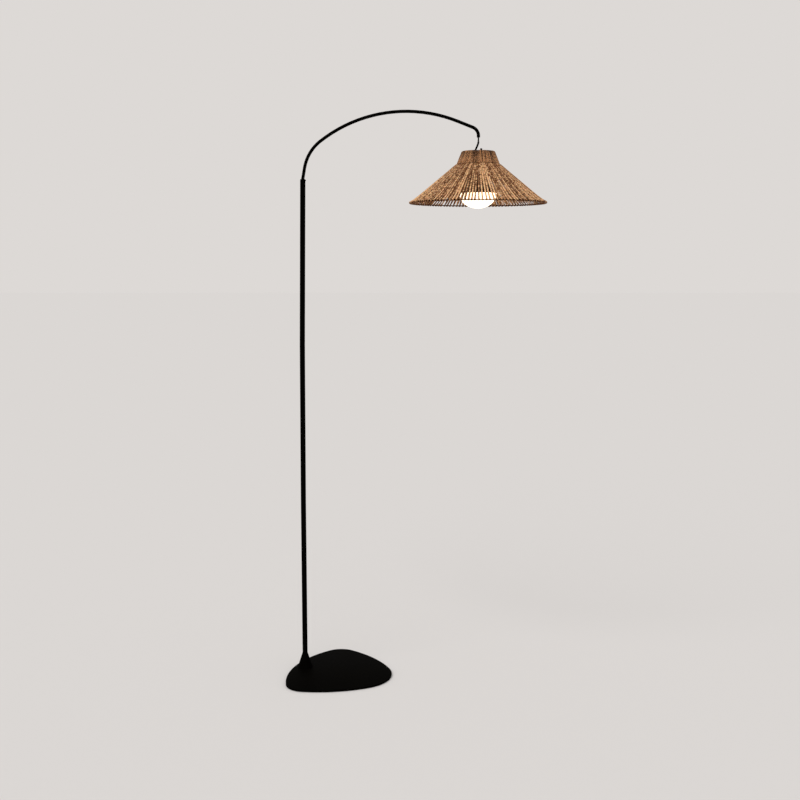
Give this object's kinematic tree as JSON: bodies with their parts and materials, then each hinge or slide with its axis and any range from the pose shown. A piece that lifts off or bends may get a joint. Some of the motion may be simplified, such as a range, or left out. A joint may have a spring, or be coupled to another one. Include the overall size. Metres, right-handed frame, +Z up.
{
  "type": "floor lamp",
  "caption": "Floor lamp with a slim pole on a flat rounded base and a bent arm that turns; a cane-wound cone shade with a globe bulb swings from its tip.",
  "frame": {"origin": "on the floor, under the pole's axis at the foot", "axes": "+Z up along the pole, +X from the pole toward the shade, +Y toward the back of the picture"},
  "size_m": [0.8439, 0.4438, 1.8398],
  "materials": {
    "black_steel": "black powder coat, fine grain, half matt",
    "dark_plastic": "moulded, matt",
    "foam_pad": "closed-cell foam sheet",
    "zinc": "zinc plated",
    "brass": "bare pressed brass",
    "black_cable": "smooth cable sheath",
    "cane": "stained round cane, satin",
    "dark_cane": "stained round cane, satin, a shade darker",
    "white_plastic": "moulded, matt white",
    "opal": "opal diffuser, lit warm white"
  },
  "bodies": {
    "stand": {"base_pad": "foam_pad", "base_plate": "black_steel", "base_screw_1": "zinc", "base_screw_2": "zinc", "base_screw_3": "zinc", "foot": "black_steel", "cable_grommet": "dark_plastic", "pole_stud": "zinc", "pole_lower": "black_steel", "pole_middle": "black_steel", "pole_upper": "black_steel", "pole_joiner_lower": "black_steel", "pole_joiner_upper": "black_steel", "pole_collar": "black_steel", "collar_screw": "black_steel", "pole_lead": "black_cable"},
    "arm": {"arm_tube": "black_steel", "arm_lead": "black_cable", "arm_guide_bush": "dark_plastic"},
    "link": {"hanging_link": "black_cable"},
    "shade": {"hanging_cord": "black_cable", "bottom_ring": "black_steel", "skirt_ring": "black_steel", "neck_ring": "black_steel", "top_ring": "black_steel", "skirt_rib_1": "black_steel", "skirt_rib_2": "black_steel", "skirt_rib_3": "black_steel", "waist_tie_1": "black_steel", "waist_tie_2": "black_steel", "waist_tie_3": "black_steel", "neck_rib_1": "black_steel", "neck_rib_2": "black_steel", "neck_rib_3": "black_steel", "spider_hub": "black_steel", "skirt_winding": "cane", "neck_winding": "dark_cane", "cord_grip": "dark_plastic", "cap_screw": "black_steel", "cap_nut": "zinc", "lampholder_cap": "dark_plastic", "lampholder_body": "dark_plastic", "centre_contact": "brass", "lampholder_insert": "white_plastic", "screw_shell": "brass", "bulb_cap": "zinc", "bulb_housing": "dark_plastic", "bulb_globe": "opal", "led_board": "white_plastic"}
  },
  "joints": [
    {"name": "arm_swivel", "type": "hinge", "parent": "stand", "child": "arm", "pos_m": [0.00963, 0, 1.62414], "axis": [0.014, 0, 0.9999], "range_deg": [-170, 170]},
    {"name": "shade_swing", "type": "hinge", "parent": "arm", "child": "link", "pos_m": [0.56859, 0, 1.7555], "axis": [0, 1, 0], "range_deg": [-25, 25]},
    {"name": "shade_sway", "type": "hinge", "parent": "link", "child": "shade", "pos_m": [0.56859, 0, 1.7403], "axis": [1, 0, 0], "range_deg": [-25, 25]}
  ]
}
